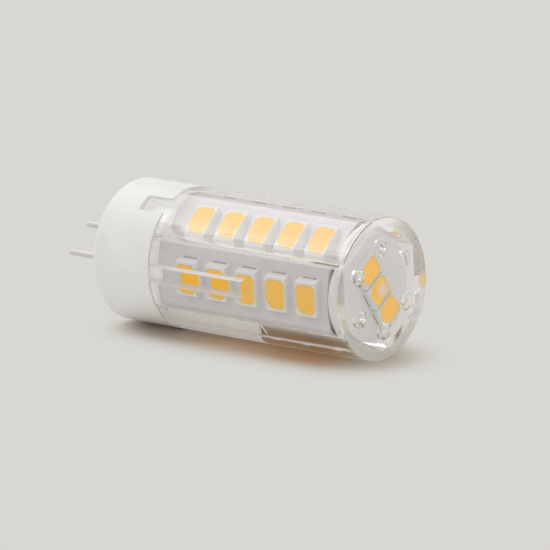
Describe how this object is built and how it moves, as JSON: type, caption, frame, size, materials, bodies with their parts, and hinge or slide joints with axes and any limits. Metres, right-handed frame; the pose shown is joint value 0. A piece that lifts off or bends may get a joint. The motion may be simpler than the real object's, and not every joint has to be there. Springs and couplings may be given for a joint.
{
  "type": "led capsule bulb",
  "caption": "Two-pin LED capsule lamp: clear round cover with vent slots and holes over a folded hexagonal LED board, on a white base cup.",
  "frame": {"origin": "centre of the flat head face, which the lamp stands on", "axes": "+Z along the lamp axis, from the head towards the pins; the two latches of the cover lie on the Y axis, and the line through the pins is turned 9 degrees from X"},
  "size_m": [0.016, 0.016, 0.043],
  "materials": {
    "white_plastic": "smooth white moulded plastic, satin gloss",
    "clear_plastic": "clear moulded plastic, polished, refractive",
    "pin_metal": "plated round wire, slightly dull",
    "white_board": "thin circuit board with white solder mask",
    "led_housing": "white moulded LED package",
    "phosphor": "yellow phosphor in clear silicone, unlit",
    "solder": "tin solder, bright",
    "driver_board": "green circuit board",
    "black_resin": "black moulded resin",
    "tan_ceramic": "fired ceramic block",
    "dark_ferrite": "dark grey ferrite"
  },
  "bodies": {
    "root": {"base_cup": "white_plastic", "bridge_rectifier": "black_resin", "clear_cover": "clear_plastic", "contact_pin_1": "pin_metal", "contact_pin_2": "pin_metal", "driver_board": "driver_board", "driver_chip": "black_resin", "drum_coil": "dark_ferrite", "end_board": "white_board", "filter_capacitor": "tan_ceramic", "led_board": "white_board", "led_head_1": "led_housing", "led_head_2": "led_housing", "led_head_3": "led_housing", "led_row_1_1": "led_housing", "led_row_1_2": "led_housing", "led_row_1_3": "led_housing", "led_row_1_4": "led_housing", "led_row_1_5": "led_housing", "led_row_2_1": "led_housing", "led_row_2_2": "led_housing", "led_row_2_3": "led_housing", "led_row_2_4": "led_housing", "led_row_2_5": "led_housing", "led_row_3_1": "led_housing", "led_row_3_2": "led_housing", "led_row_3_3": "led_housing", "led_row_3_4": "led_housing", "led_row_3_5": "led_housing", "led_row_4_1": "led_housing", "led_row_4_2": "led_housing", "led_row_4_3": "led_housing", "led_row_4_4": "led_housing", "led_row_4_5": "led_housing", "led_row_5_1": "led_housing", "led_row_5_2": "led_housing", "led_row_5_3": "led_housing", "led_row_5_4": "led_housing", "led_row_5_5": "led_housing", "led_row_6_1": "led_housing", "led_row_6_2": "led_housing", "led_row_6_3": "led_housing", "led_row_6_4": "led_housing", "led_row_6_5": "led_housing", "led_solder": "solder", "phosphor_head": "phosphor", "phosphor_row_1": "phosphor", "phosphor_row_2": "phosphor", "phosphor_row_3": "phosphor", "phosphor_row_4": "phosphor", "phosphor_row_5": "phosphor", "phosphor_row_6": "phosphor", "return_diode": "black_resin", "sense_resistor": "black_resin"}
  },
  "joints": []
}
